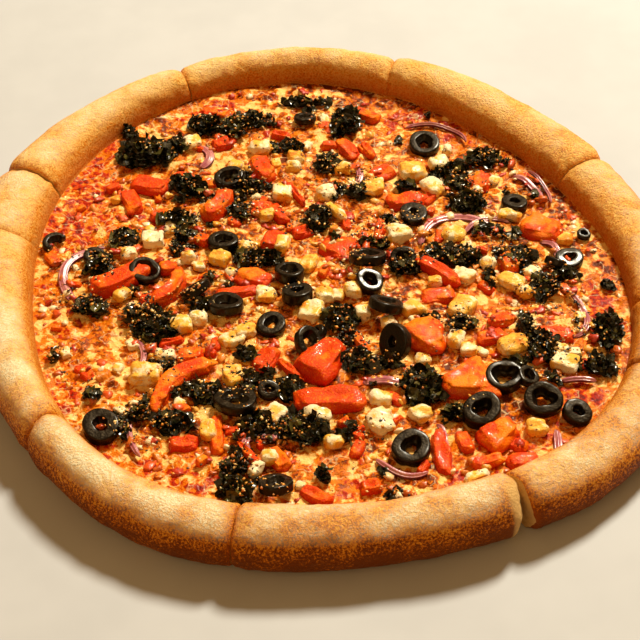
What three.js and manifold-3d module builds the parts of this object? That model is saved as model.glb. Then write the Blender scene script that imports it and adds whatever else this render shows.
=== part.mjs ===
// Greek pizza: ten slices of bread with a puffy rim, under melted cheese, black olive rings, tomato,
// feta, spinach and red onion. Millimetres, +Z up, the underside on z = 0.
import * as THREE from 'three';
import { mergeVertices } from 'three/addons/utils/BufferGeometryUtils.js';
import Module from 'manifold-3d';

const wasm = await Module();
wasm.setup();

const DEGREE = Math.PI / 180;

// Bread: outer edge, foot of the rim's inner wall, heights, and the point the cuts run from
const OUTER = { radius: 181.1, waves: [[-1.4, 1.3], [-1.5, -6.7], [0.8, -1.1], [-0.4, -2.7], [-1.3, 0.9]] };
const INNER = { radius: 152.5, waves: [[-1.3, 1.2], [-5.5, -6.4], [3.8, -3.5], [-0.9, -0.6], [-0.3, 0.9]] };
const RIM_HEIGHT = 28;
const RIM_MIDDLE = 0.47;
const BASE_THICKNESS = 7;
const BOX_CENTRE = [-1.9, 3.4];

// Cuts: the angle of each, how far it gapes at the edge, and how much higher the rim stands after it
const CUTS = [
  { angle: 27, open: 0.5, rise: 1.02 },
  { angle: 75.5, open: 0.5, rise: 0.98 },
  { angle: 116, open: 0.9, rise: 1 },
  { angle: 155, open: 1.6, rise: 0.95 },
  { angle: 171.5, open: 0.6, rise: 1.01 },
  { angle: 220, open: 0.5, rise: 0.98 },
  { angle: 257, open: 0.9, rise: 1.01 },
  { angle: 299, open: 3, rise: 0.97 },
  { angle: 333, open: 0.5, rise: 1 },
  { angle: 348.6, open: 0.5, rise: 0.97 },
];
const KERF = 0.7;
const GAP = 0.3;
const SHORTEST_EDGE = 0.03;

// Rim ends, rounded and pinched at a cut, and the steps round and along the rim
const END_ROUND = 9;
const END_PINCH = 0.07;
const END_TUCK = 1.5;
const END_STEPS = [0, 2.5, 6];
const RIM_STEPS = 10;
const STEP = 7 * DEGREE;

// Cheese: its usual height, its unevenness and the rings of its grid as shares of the radius
const CHEESE_TOP = 11.5;
const CHEESE_LUMPS = 0.9;
const CHEESE_RINGS = [1, 0.84, 0.65, 0.45, 0.23];
const CHEESE_FLOOR = BASE_THICKNESS + GAP;

// How many sides the round pieces have
const OLIVE_SIDES = 11;
const TOPPING_SIDES = 9;
const SMALL_SIDES = 6;

// Olive slices: x, y, across, thickness, hole, lean, the way it leans, lift above the cheese
const OLIVES = [
  [23, 7, 18, 5, 10, 25, 90, 0],
  [-16, -3, 15, 6, 9, 15, 90, 0],
  [57, 102, 17.5, 4.5, 10, 5, -90, 0],
  [-24.5, -37.5, 14.5, 4, 7, 2, -90, 0],
  [-49, 75, 15.5, 5, 9, 6, -110, 0],
  [-8.5, 127, 12, 3.5, 5.5, 14, 90, 0],
  [-47, -24, 17, 5, 10, 14, 90, 0],
  [-40, -88, 20, 5, 12, 16, 90, 0],
  [-6.5, -52, 15, 5, 9, 34, -30, 0],
  [34, -55, 17, 5, 5, 55, -140, 0],
  [31, -28, 17, 5, 9, 32, 60, 0],
  [83.5, -76, 17, 6, 11, 6, -90, 0],
  [99.5, -92, 17, 6, 10, 16, -90, 0],
  [114, -99.5, 13, 5, 5, 16, -60, 0],
  [-100, -102, 17, 5.5, 7, 8, -60, 0],
  [-21, -138.5, 16, 4.5, 9, 28, 90, 0],
  [38.5, -118, 17.5, 5.5, 9, 6, -90, 0],
  [124, 5, 14, 4, 5.5, 4, -60, 0],
  [-50, 23, 15, 5, 8, 6, 90, 0],
  [-88, 0.5, 15.5, 5, 10, 12, -60, 0],
  [23.5, -10, 14, 5, 7, 14, -40, 0],
];

// Tomato pieces: x, y, length, width, height, turn, bend, taper
const TOMATOES = [
  [-101, -3, 33, 14, 9, 33, 0.018, 0.1],
  [-65, -75, 42, 10, 8, 48, -0.04, 0],
  [3, -88.5, 34, 15, 9, 4, -0.012, 0],
  [0, -62, 29, 20, 11, 55, 0, 0.2],
  [66.5, -76.5, 27, 22, 9, -165, 0, 0.45],
  [49, -48.5, 24, 19, 11, -60, 0, 0.25],
  [45, 54, 21, 13, 7, 6, 0, 0.1],
  [-77, -9, 30, 9, 8, 62, 0.06, 0],
  [-55, 53, 25, 12, 9, 60, 0.05, 0],
  [57.5, -2.5, 28, 9, 9, -42, -0.02, 0],
  [-31, 84, 22, 12.5, 8, -65, 0.02, 0.1],
  [-91, 71, 22, 13, 7, -14, 0, 0.1],
  [113.5, 30, 22, 18, 9, -25, 0, 0.15],
  [78, -110, 20, 15, 9, 35, 0, 0.2],
];

// Feta cubes: x, y, length, width, height, turn
const FETAS = [
  [-82, -70.5, 16, 11, 9, -5],
  [39.5, 26, 14, 13, 9, 15],
];

// Spinach clumps: x, y, length, width, height, turn
const SPINACHES = [
  [-95.5, 96.5, 30, 22, 9, -8],
  [46, -80, 23, 19, 8, 100],
  [15, 124, 22, 14, 9, 85],
];

// Smaller pieces, fused to the cheese. Feta: x, y, length, width, turn
const FETA_HEIGHT = 6.5;
const SMALL_FETAS = [
  [28, 66, 14, 13, 10], [49.5, 79, 14, 12, 10], [59.5, 65, 15, 10, 120], [64, 85.5, 11, 9, 10],
  [68, -27.5, 15, 13, 60], [68, 26, 13, 11, 15], [70, -5, 12, 9, -30], [93.5, -10, 14.5, 11, -25],
  [90, -54, 15.5, 11, 15], [113, -66, 14, 11, -25], [63, -50, 10, 9, 60], [-27.5, -16.5, 11, 11, 5],
  [-5.5, -28, 13, 11, 75], [-3, -96, 14, 10, -15], [-22, -96, 12, 11, 50], [-41.5, -71, 13, 10, 100],
  [-42.5, -47, 13, 10, 10], [-86, 27, 12, 11, 5], [-38, 19, 10, 7, 0], [-52, 12, 11, 9, -20],
  [-20, 62, 11, 10, 0], [25.5, -101, 15, 12, 120], [-68, -36, 12, 11, 0], [-6.5, 5, 13, 9, 60],
];

// Tomato: x, y, length, width, turn
const TOMATO_HEIGHT = 5.5;
const SMALL_TOMATOES = [
  [-100, 59, 20, 10, 110], [-31, 51, 13, 12, 0], [-62.5, -56, 13, 10, 5], [9, 20, 20, 18, -25],
  [-27, -60, 16, 12, 70], [-20.5, -121, 15, 9, -60], [52, -119, 27, 8, 95], [-4, -142, 16, 7, -35],
  [85.5, 70, 16, 10, 80], [-34, -2, 19, 12, -20], [111, -46, 20, 9, -10], [25.5, 132, 19, 9, -35],
  [33, 79, 14, 12, 40], [-24.5, 26, 15, 12, 80], [-48, -106, 24, 7, 95], [56.5, -18, 18, 11, 5],
];

// Spinach: x, y, length, width, turn
const SPINACH_HEIGHT = 6;
const SMALL_SPINACHES = [
  [-64, 124, 17, 15, 0], [-48, 121, 16, 12, 80], [-38, 126, 12, 11, 20], [-70, 69, 22, 14, -30],
  [4.5, 84.5, 14, 14, 20], [-2, 42, 20, 11, 70], [71, 79, 14, 12, 0], [88, 88, 17, 12, -10],
  [76.5, 51, 18, 13, 0], [-101, 29, 14, 11, 40], [-112, 6, 15, 11, 60], [-32, 11, 26, 10, -8],
  [70.5, 9.5, 20, 15, -15], [100, 8, 14, 12, 0], [109, -14, 16, 12, 100], [-80, -36, 24, 19, -40],
  [8.5, -33, 19, 17, -20], [-36, -75, 14, 10, 90], [17.5, -63, 17, 14, -40], [103.5, -55, 15, 18, 0],
  [137, -45, 24, 12, 85], [128, -69, 18, 8, -15], [-67.5, -99, 18, 11, -10], [-28.5, -102, 17, 15, 0],
  [-9.5, -104, 25, 16, -10], [-38, -139, 15, 12, -35],
];

// Red onion arcs: centre x, y, radius, from, to, width
const ONION_HEIGHT = 2.5;
const ONIONS = [
  [-104, -1, 25, 105, 228, 5],
  [60, 102, 19, 5, 128, 2.5],
  [72, 17, 23, 35, 172, 5],
  [100, 58, 15, -15, 80, 4],
  [112, -33, 16, -62, 58, 3.5],
  [88, -115, 17, -50, 25, 4],
];

const COLOURS = {
  crust: { color: 0xd9a35c, roughness: 0.75 },
  cheese: { color: 0xe8b563, roughness: 0.45 },
  olive: { color: 0x1d1a1a, roughness: 0.25 },
  tomato: { color: 0xdb4a1c, roughness: 0.3 },
  feta: { color: 0xf2dfb0, roughness: 0.6 },
  spinach: { color: 0x20241a, roughness: 0.5 },
};

// Radius of an outline at an angle, from its mean radius and its cosine and sine waves
function outlineRadius(outline, angle) {
  return outline.waves.reduce((radius, [cosine, sine], index) => {
    const order = index + 1;
    return radius + cosine * Math.cos(order * angle) + sine * Math.sin(order * angle);
  }, outline.radius);
}

// Height of the cheese: soft lumps of two sizes
function cheeseHeight(x, y) {
  const broad = Math.sin(x / 17 + 1) * Math.cos(y / 14);
  const narrow = Math.sin((x + y) / 9 + 2) * Math.cos((x - y) / 11);
  return CHEESE_TOP + CHEESE_LUMPS * (0.7 * broad + 0.3 * narrow);
}

// Closed body of a geometry: shared points merged, collapsed triangles dropped, faces pointing out
function toSolid(geometry) {
  geometry.deleteAttribute('normal');
  geometry.deleteAttribute('uv');
  const merged = mergeVertices(geometry, 1e-4);
  const positions = merged.getAttribute('position').array;
  const corners = [];
  let volume = 0;
  for (let i = 0; i < merged.index.count; i += 3) {
    const triangle = [0, 1, 2].map((offset) => merged.index.getX(i + offset));
    if (new Set(triangle).size === 3) {
      corners.push(triangle);
      const [a, b, c] = triangle.map((corner) => new THREE.Vector3().fromArray(positions, 3 * corner));
      volume += a.dot(b.cross(c));
    }
  }
  const outward = volume > 0 ? corners : corners.map(([a, b, c]) => [a, c, b]);
  return new wasm.Manifold(new wasm.Mesh({
    numProp: 3,
    vertProperties: new Float32Array(positions),
    triVerts: new Uint32Array(outward.flat()),
  }));
}

function toGeometry(solid) {
  const { vertProperties, triVerts } = solid.getMesh();
  const geometry = new THREE.BufferGeometry();
  geometry.setAttribute('position', new THREE.BufferAttribute(new Float32Array(vertProperties), 3));
  geometry.setIndex(new THREE.BufferAttribute(new Uint32Array(triVerts), 1));
  return geometry;
}

// Named mesh of a solid, its points closer than the shortest edge made one
function toMesh(solid, name, slot) {
  const welded = toSolid(mergeVertices(toGeometry(solid), SHORTEST_EDGE));
  const material = new THREE.MeshStandardMaterial({ metalness: 0, ...COLOURS[slot] });
  const mesh = new THREE.Mesh(toGeometry(welded), material);
  mesh.name = name;
  return mesh;
}

// Largest body of a solid, without the loose scraps that cutting leaves
function largest(solid) {
  return solid.decompose().reduce((best, body) => (body.volume() > best.volume() ? body : best));
}

// Body swept through closed sections of equal point count, each given as points in space and in its plane
function sweep(sections) {
  const count = sections[0].flat.length;
  const triangles = [];
  for (let ring = 0; ring + 1 < sections.length; ring += 1) {
    for (let i = 0; i < count; i += 1) {
      const next = (i + 1) % count;
      const [a, b] = [ring * count + i, ring * count + next];
      const [c, d] = [b + count, a + count];
      triangles.push(a, c, b, a, d, c);
    }
  }
  const last = (sections.length - 1) * count;
  THREE.ShapeUtils.triangulateShape(sections[0].flat, []).forEach(([a, b, c]) => triangles.push(a, b, c));
  THREE.ShapeUtils.triangulateShape(sections.at(-1).flat, []).forEach(([a, b, c]) => {
    triangles.push(last + a, last + c, last + b);
  });
  const geometry = new THREE.BufferGeometry();
  const points = sections.flatMap((section) => section.points);
  geometry.setAttribute('position', new THREE.Float32BufferAttribute(points.flat(), 3));
  geometry.setIndex(triangles);
  return toSolid(geometry);
}

// Slice from one cut to the next: its side angles, and its tip set back so that the cut has its width
function makeSlice(index, kerf) {
  const first = CUTS[index];
  const next = CUTS[(index + 1) % CUTS.length];
  const wholeTurn = index + 1 < CUTS.length ? 0 : 360;
  const start = first.angle * DEGREE + first.open / 2 / OUTER.radius;
  const end = (next.angle + wholeTurn) * DEGREE - next.open / 2 / OUTER.radius;
  const middle = (start + end) / 2;
  const setback = kerf / 2 / Math.sin((end - start) / 2);
  return { start, end, rise: first.rise, tip: [setback * Math.cos(middle), setback * Math.sin(middle)] };
}

// Angles of a slice's sections, closer together at its rounded ends
function sectionAngles({ start, end }) {
  const ends = END_STEPS.map((step) => step / OUTER.radius);
  const from = start + END_ROUND / OUTER.radius;
  const to = end - END_ROUND / OUTER.radius;
  const count = Math.max(1, Math.round((to - from) / STEP));
  const middle = Array.from({ length: count + 1 }, (_, i) => from + ((to - from) * i) / count);
  return [...ends.map((step) => start + step), ...middle, ...ends.map((step) => end - step).reverse()];
}

// Point of a slice at an angle from its tip and a radius from the pizza's centre
function slicePoint({ tip }, angle, radius, z) {
  const direction = [Math.cos(angle), Math.sin(angle)];
  const along = tip[0] * direction[0] + tip[1] * direction[1];
  const square = along * along - tip[0] * tip[0] - tip[1] * tip[1] + radius * radius;
  const reach = radius > 0 ? Math.sqrt(square) - along : 0;
  return [tip[0] + reach * direction[0], tip[1] + reach * direction[1], z];
}

function sweepSlice(slice, profileAt) {
  return sweep(sectionAngles(slice).map((angle) => {
    const profile = profileAt(slice, angle);
    return {
      flat: profile.map(([radius, z]) => new THREE.Vector2(radius, z)),
      points: profile.map(([radius, z]) => slicePoint(slice, angle, radius, z)),
    };
  }));
}

// Share of the end's pinch at an angle, from 1 at a cut to 0 away from it
function endShare({ start, end }, angle) {
  const distance = OUTER.radius * Math.min(angle - start, end - angle);
  return (1 - Math.min(1, distance / END_ROUND)) ** 2;
}

// Bread's profile: flat base, round rim with a flat spot under it, steep inner wall
function breadProfile(slice, angle) {
  const pinch = endShare(slice, angle);
  const lumps = 1 + 0.025 * Math.sin(5 * angle + 1) + 0.015 * Math.sin(11 * angle + 2);
  const height = RIM_HEIGHT * slice.rise * lumps * (1 - END_PINCH * pinch);
  const inner = outlineRadius(INNER, angle);
  const outer = outlineRadius(OUTER, angle) - END_TUCK * pinch;
  const middleZ = RIM_MIDDLE * height;
  const halfHeight = height - middleZ;
  const halfWidth = (outer - inner) / 2;
  const lowest = -Math.asin(middleZ / halfHeight);
  const rim = Array.from({ length: RIM_STEPS + 1 }, (_, i) => {
    const turn = lowest + ((Math.PI - lowest) * i) / RIM_STEPS;
    return [inner + halfWidth * (1 + Math.cos(turn)), middleZ + halfHeight * Math.sin(turn)];
  });
  return [[0, 0], ...rim, [inner, BASE_THICKNESS], [0, BASE_THICKNESS]];
}

function breadSolid(index) {
  return sweepSlice(makeSlice(index, KERF), breadProfile);
}

// Cheese of a slice; with a lift, it is the space that toppings on it stay out of
function cheeseSolid(index, lift) {
  const slice = makeSlice(index, lift > 0 ? 0 : KERF);
  const widen = lift > 0 ? CUTS[index].open / OUTER.radius + 0.01 : 0;
  return sweepSlice({ ...slice, start: slice.start - widen, end: slice.end + widen }, (place, angle) => {
    const edge = outlineRadius(INNER, angle) - GAP;
    const top = [...CHEESE_RINGS, 0].map((share) => {
      const radius = share * edge;
      const [x, y] = slicePoint(place, angle, radius, 0);
      return [radius, cheeseHeight(x, y) + lift];
    });
    return [[0, CHEESE_FLOOR], [edge, CHEESE_FLOOR], ...top];
  });
}

// Upright wedge between two cuts, which keeps a fused piece just within its slice's sides
function wedgeSolid(index) {
  const slice = makeSlice(index, KERF + 2 * GAP);
  return sweepSlice(slice, (place, angle) => {
    const edge = outlineRadius(INNER, angle) - 3 * GAP;
    return [[0, CHEESE_FLOOR], [edge, CHEESE_FLOOR], [edge, 2 * RIM_HEIGHT], [0, 2 * RIM_HEIGHT]];
  });
}

// Turned and leaned placing of a piece on the cheese
function place(geometry, { x, y, turn = 0, lean = 0, leanTo = 0, z }) {
  const axis = new THREE.Vector3(-Math.sin(leanTo * DEGREE), Math.cos(leanTo * DEGREE), 0);
  geometry.rotateZ(turn * DEGREE);
  geometry.applyMatrix4(new THREE.Matrix4().makeRotationAxis(axis, lean * DEGREE));
  geometry.translate(x, y, z);
  return toSolid(geometry);
}

// Olive slice: a ring with a round outer side
function oliveSolid([x, y, across, thick, hole, lean, leanTo, lift], grow) {
  const outer = across / 2 + grow;
  const inner = hole / 2 - grow;
  const half = thick / 2 + grow;
  const profile = [[inner, -half], [0.9 * outer, -half], [outer, 0], [0.9 * outer, half], [inner, half]];
  const closed = [...profile, profile[0]].map(([radius, height]) => new THREE.Vector2(radius, height));
  const geometry = new THREE.LatheGeometry(closed, OLIVE_SIDES).rotateX(Math.PI / 2);
  const raised = lift + thick / 2 + 0.6 * (across / 2) * Math.sin(lean * DEGREE);
  return place(geometry, { x, y, lean, leanTo, z: cheeseHeight(x, y) + raised });
}

// Chunk: a ball squared, tapered, roughened and bent, sunk a little into the cheese
function chunkSolid({ x, y, size, turn, square, rough, bend = 0, taper = 0, sides = TOPPING_SIDES, sink = 1 }, grow) {
  const geometry = new THREE.SphereGeometry(1, sides, Math.round(sides / 2)).rotateX(Math.PI / 2);
  const position = geometry.getAttribute('position');
  const [halfLength, halfWidth, halfHeight] = size.map((side) => side / 2 + grow);
  const point = new THREE.Vector3();
  for (let i = 0; i < position.count; i += 1) {
    point.fromBufferAttribute(position, i).normalize();
    const widest = Math.max(Math.abs(point.x), Math.abs(point.y), Math.abs(point.z));
    const wobble = Math.sin(3 * point.x + x) * Math.sin(3 * point.y + y) * Math.cos(3 * point.z);
    point.multiplyScalar((1 + rough * wobble) / widest ** square);
    const along = halfLength * point.x;
    const side = halfWidth * point.y * (1 - taper * point.x);
    const curve = bend * along;
    const reach = bend === 0 ? along : (1 / bend - side) * Math.sin(curve);
    const across = bend === 0 ? side : 1 / bend - (1 / bend - side) * Math.cos(curve);
    position.setXYZ(i, reach, across - 0.3 * bend * halfLength ** 2, halfHeight * point.z);
  }
  return place(geometry, { x, y, turn, z: cheeseHeight(x, y) + size[2] / 2 - sink });
}

function tomatoSolid([x, y, length, width, height, turn, bend, taper], grow) {
  return chunkSolid({ x, y, size: [length, width, height], turn, square: 0.5, rough: 0.1, bend, taper }, grow);
}

function fetaSolid([x, y, length, width, height, turn], grow) {
  return chunkSolid({ x, y, size: [length, width, height], turn, square: 0.7, rough: 0.06 }, grow);
}

function spinachSolid([x, y, length, width, height, turn], grow) {
  return chunkSolid({ x, y, size: [length, width, height], turn, square: 0.2, rough: 0.25 }, grow);
}

function smallChunk([x, y, length, width, turn], height, square, rough) {
  return chunkSolid({ x, y, size: [length, width, height], turn, square, rough, sides: SMALL_SIDES, sink: 1.5 }, 0);
}

// Onion arc: a flat strip along part of a ring
function onionSolid([x, y, radius, from, to, width]) {
  const steps = Math.ceil((to - from) / 22);
  const flat = [[-1, -1], [1, -1], [1, 1], [-1, 1]].map(([side, up]) => {
    return new THREE.Vector2((side * width) / 2, (up * ONION_HEIGHT) / 2);
  });
  return sweep(Array.from({ length: steps + 1 }, (_, i) => {
    const angle = (from + ((to - from) * i) / steps) * DEGREE;
    const points = flat.map((corner) => {
      const [px, py] = [radius + corner.x, radius + corner.x];
      const spot = [x + px * Math.cos(angle), y + py * Math.sin(angle)];
      return [...spot, cheeseHeight(...spot) + ONION_HEIGHT / 3 + corner.y];
    });
    return { flat, points };
  }));
}

// Topping pieces, those that lie on others first
const toppings = [
  ...TOMATOES.slice(0, 12).map((row) => ({ slot: 'tomato', make: (grow) => tomatoSolid(row, grow) })),
  ...OLIVES.map((row) => ({ slot: 'olive', make: (grow) => oliveSolid(row, grow) })),
  ...TOMATOES.slice(12).map((row) => ({ slot: 'tomato', make: (grow) => tomatoSolid(row, grow) })),
  ...FETAS.map((row) => ({ slot: 'feta', make: (grow) => fetaSolid(row, grow) })),
  ...SPINACHES.map((row) => ({ slot: 'spinach', make: (grow) => spinachSolid(row, grow) })),
];

const fusedPieces = [
  ...SMALL_FETAS.map((row) => smallChunk(row, FETA_HEIGHT, 0.7, 0.06)),
  ...SMALL_TOMATOES.map((row) => smallChunk(row, TOMATO_HEIGHT, 0.35, 0.06)),
  ...SMALL_SPINACHES.map((row) => smallChunk(row, SPINACH_HEIGHT, 0.2, 0.25)),
  ...ONIONS.map(onionSolid),
];

function buildPizza() {
  const group = new THREE.Group();
  group.name = 'greek_pizza';
  group.position.set(-BOX_CENTRE[0], -BOX_CENTRE[1], 0);
  const indices = CUTS.map((_, index) => index);
  const stayOut = indices.map((index) => cheeseSolid(index, GAP));
  const grown = toppings.map(({ make }) => make(GAP));

  indices.forEach((index) => group.add(toMesh(breadSolid(index), `slice_${index + 1}_crust`, 'crust')));

  // Each topping is trimmed to the cheese under it and to the pieces that lie on it
  const numbers = {};
  toppings.forEach(({ slot, make }, order) => {
    const cut = [...stayOut, ...grown.slice(0, order)].reduce((solid, other) => solid.subtract(other), make(0));
    numbers[slot] = (numbers[slot] ?? 0) + 1;
    group.add(toMesh(largest(cut), `${slot}_${numbers[slot]}`, slot));
  });

  // Each slice's cheese takes the small pieces within it, clear of the toppings
  const clear = fusedPieces.map((piece) => grown.reduce((solid, other) => solid.subtract(other), piece));
  indices.forEach((index) => {
    const wedge = wedgeSolid(index);
    const whole = clear.reduce((solid, piece) => solid.add(piece.intersect(wedge)), cheeseSolid(index, 0));
    group.add(toMesh(largest(whole), `slice_${index + 1}_cheese`, 'cheese'));
  });
  return group;
}

export default buildPizza();
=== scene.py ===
"""Greek pizza: the looks of its bread, cheese and toppings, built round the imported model."""

import math

import bpy
import numpy as np
from mathutils import Matrix, Vector
from mathutils.geometry import tessellate_polygon


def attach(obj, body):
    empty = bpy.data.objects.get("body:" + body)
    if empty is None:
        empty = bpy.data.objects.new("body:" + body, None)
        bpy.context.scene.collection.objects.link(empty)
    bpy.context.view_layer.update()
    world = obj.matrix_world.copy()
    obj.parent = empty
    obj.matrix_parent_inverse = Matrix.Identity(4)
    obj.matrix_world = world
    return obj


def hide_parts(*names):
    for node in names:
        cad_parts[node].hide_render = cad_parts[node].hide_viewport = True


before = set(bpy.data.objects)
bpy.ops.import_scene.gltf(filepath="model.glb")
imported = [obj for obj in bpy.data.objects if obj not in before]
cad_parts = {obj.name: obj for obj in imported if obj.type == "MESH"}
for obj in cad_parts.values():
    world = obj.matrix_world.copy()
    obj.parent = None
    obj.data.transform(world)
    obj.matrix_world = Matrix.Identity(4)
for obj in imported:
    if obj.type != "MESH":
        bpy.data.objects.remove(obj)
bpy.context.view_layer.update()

# Driving dimensions, in millimetres and degrees, in the frame whose origin the cuts run from. An
# outline is a mean radius with its cosine and sine waves.
BOX_CENTRE = (-1.9, 3.4)
OUTER = (181.1, ((-1.4, 1.3), (-1.5, -6.7), (0.8, -1.1), (-0.4, -2.7), (-1.3, 0.9)))
INNER = (152.5, ((-1.3, 1.2), (-5.5, -6.4), (3.8, -3.5), (-0.9, -0.6), (-0.3, 0.9)))
RIM_HEIGHT = 28.0
RIM_MIDDLE = 0.47
BASE_THICKNESS = 7.0
CHEESE_TOP = 11.5
CHEESE_LUMPS = 0.9
GAP = 0.3
END_ROUND = 9.0
END_PINCH = 0.07
END_TUCK = 1.5

# Cuts: angle, how far it gapes at the edge, and how high the rim stands after it, as a share
CUTS = (
    (27.0, 0.0, 1.02), (75.5, 0.0, 0.98), (116.0, 0.5, 1.0), (155.0, 1.2, 0.95), (171.5, 0.2, 1.01),
    (220.0, 0.0, 0.98), (257.0, 0.3, 1.01), (299.0, 2.8, 0.97), (333.0, 0.0, 1.0), (348.6, 0.0, 0.97),
)

# Olive slices: x, y, across, thickness, hole, lean, the way it leans, lift above the cheese and,
# for a broken ring, its first and last angle
OLIVES = (
    (23, 7, 18, 5, 10, 25, 90, 0), (-16, -3, 15, 6, 9, 15, 90, 0), (57, 102, 17.5, 4.5, 10, 5, -90, 0),
    (-24.5, -37.5, 14.5, 4, 7, 2, -90, 0), (-49, 75, 15.5, 5, 9, 6, -110, 0),
    (-8.5, 127, 12, 3.5, 5.5, 14, 90, 0), (-47, -24, 17, 5, 10, 14, 90, 0),
    (-40, -88, 20, 5, 12, 16, 90, 0), (-6.5, -52, 15, 5, 9, 34, -30, 0), (34, -55, 17, 5, 5, 55, -140, 0),
    (31, -28, 17, 5, 9, 32, 60, 0), (83.5, -76, 17, 6, 11, 6, -90, 0), (99.5, -92, 17, 6, 10, 16, -90, 0),
    (114, -99.5, 13, 5, 5, 16, -60, 0), (-100, -102, 17, 5.5, 7, 8, -60, 0),
    (-21, -138.5, 16, 4.5, 9, 28, 90, 0), (38.5, -118, 17.5, 5.5, 9, 6, -90, 0),
    (124, 5, 14, 4, 5.5, 4, -60, 0), (-50, 23, 15, 5, 8, 6, 90, 0), (-88, 0.5, 15.5, 5, 10, 12, -60, 0),
    (23.5, -10, 14, 5, 7, 14, -40, 0),
)
MORE_OLIVES = (
    (-12, -18, 15, 6, 6, 16, 90, 0), (-62, -15, 15, 5, 7, 42, 137, 0), (-114.5, 13.5, 11, 4, 5, 12, -60, 0),
    (101, 49, 13.5, 5, 5, 8, 90, 0), (48, 43, 15, 4, 5, 0, -90, 0), (94.5, -76, 11, 4, 6, 20, 0, 0),
    (71.5, -97.5, 17.5, 7, 9, 10, -120, 0), (41, 8, 13, 4, 7, 20, -90, 0), (-25, -81, 10, 4, 4, 20, -60, 0),
    (134, 25, 7, 3, 3, 10, -90, 0), (116.5, 1, 11, 4, 4, 40, 60, 0), (-2, -45, 9, 4, 4, 40, 180, 0),
    (-136, 25, 12.5, 4, 7, 10, -30, 0, 40, 250),
)

# Tomato pieces: x, y, length, width, height, turn, bend, taper
TOMATOES = (
    (-101, -3, 33, 14, 9, 33, 0.018, 0.1), (-65, -75, 42, 10, 8, 48, -0.04, 0),
    (3, -88.5, 34, 15, 9, 4, -0.012, 0), (0, -62, 29, 20, 11, 55, 0, 0.2),
    (66.5, -76.5, 27, 22, 9, -165, 0, 0.45), (49, -48.5, 24, 19, 11, -60, 0, 0.25),
    (45, 54, 21, 13, 7, 6, 0, 0.1), (-77, -9, 30, 9, 8, 62, 0.06, 0),
    (-55, 53, 25, 12, 9, 60, 0.05, 0), (57.5, -2.5, 28, 9, 9, -42, -0.02, 0),
    (-31, 84, 22, 12.5, 8, -65, 0.02, 0.1), (-91, 71, 22, 13, 7, -14, 0, 0.1),
    (113.5, 30, 22, 18, 9, -25, 0, 0.15), (78, -110, 20, 15, 9, 35, 0, 0.2),
)
SMALL_TOMATO_HEIGHT = 5.5
SMALL_TOMATOES = (
    (-100, 59, 20, 10, 110), (-31, 51, 13, 12, 0), (-62.5, -56, 13, 10, 5), (9, 20, 20, 18, -25),
    (-27, -60, 16, 12, 70), (-20.5, -121, 15, 9, -60), (52, -119, 27, 8, 95), (-4, -142, 16, 7, -35),
    (85.5, 70, 16, 10, 80), (-34, -2, 19, 12, -20), (111, -46, 20, 9, -10), (25.5, 132, 19, 9, -35),
    (33, 79, 14, 12, 40), (-24.5, 26, 15, 12, 80), (-48, -106, 24, 7, 95), (56.5, -18, 18, 11, 5),
    (-42, -12, 24, 8, 8), (80.5, -47, 15, 10, 15), (15, 100, 19, 10, -60), (-10, 32, 11, 10, 20),
    (62.5, -113, 13, 8, 100), (87, -124.5, 14, 9, 10), (-72, -47, 12, 5, 15), (18, -49, 15, 5, -60),
    (30, 32, 18, 6, 80), (-54, 107, 11, 10, 20), (-77, 6, 10, 9, 0), (20, -137, 10, 8, 10),
    (-9, -72, 8, 5, 60), (94, 5, 14, 9, 100), (-61, 27, 9, 8, -30), (-13, 61, 21, 3.5, -62),
    (72, -125, 15, 7, 20), (80, 71, 9, 8, 0), (-16, -67, 17, 4, -50), (-84, 48, 12, 7, 20),
    (-34, -118, 17, 3.5, -55), (-62, -111, 14, 9, 0), (5, 103, 9, 6, 0), (-22, 113, 12, 5, -20),
    (-22.5, 46.5, 17, 7, -65), (86.5, -35.5, 14, 9, 10), (26, 98.5, 15, 6, -65), (-84, -19, 12, 7, -20),
)

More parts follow.
